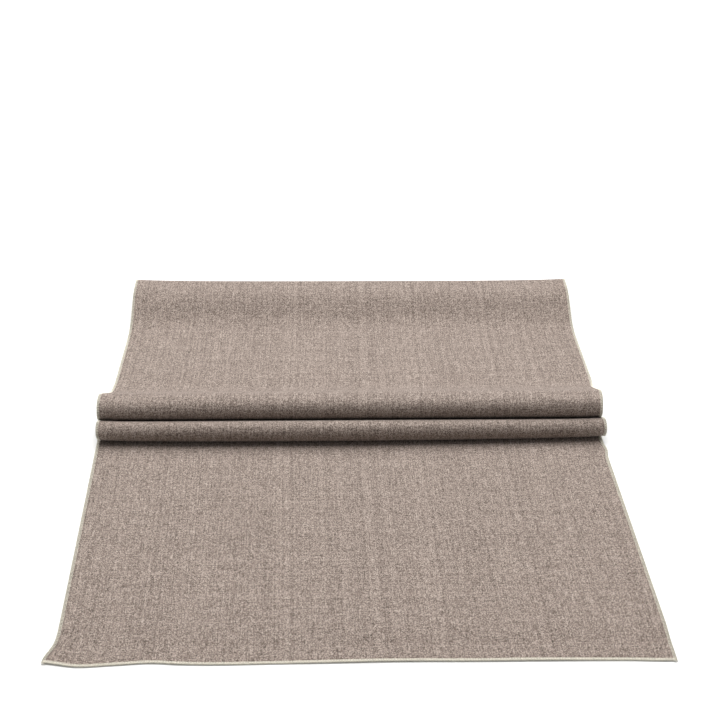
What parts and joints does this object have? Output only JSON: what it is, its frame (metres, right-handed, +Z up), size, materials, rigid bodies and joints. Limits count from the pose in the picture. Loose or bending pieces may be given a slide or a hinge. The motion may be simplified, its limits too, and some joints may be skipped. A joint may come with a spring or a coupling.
{
  "type": "table runner",
  "caption": "Woven linen table runner with serged edges, laid flat with a pair of rolled folds across its middle and its far end turned under in a soft fold.",
  "frame": {"origin": "centre of the bounding box in X and Y, on the surface that the runner lies on (Z = 0)", "axes": "+X across the runner's width, +Y along its length from the front hem to the back fold, +Z up from the table"},
  "size_m": [0.5012, 0.5982, 0.0394],
  "materials": {
    "linen": "plain-woven natural linen, taupe, matt, with slubs",
    "edging_thread": "spun overlock thread, cream, slight sheen"
  },
  "bodies": {
    "root": {"linen_panel": "linen", "front_edge_upper_looper": "edging_thread", "front_edge_lower_looper": "edging_thread", "front_edge_needle_thread": "edging_thread", "back_edge_upper_looper": "edging_thread", "back_edge_lower_looper": "edging_thread", "back_edge_needle_thread": "edging_thread", "left_edge_upper_looper": "edging_thread", "left_edge_lower_looper": "edging_thread", "left_edge_needle_thread": "edging_thread", "right_edge_upper_looper": "edging_thread", "right_edge_lower_looper": "edging_thread", "right_edge_needle_thread": "edging_thread"}
  },
  "joints": []
}
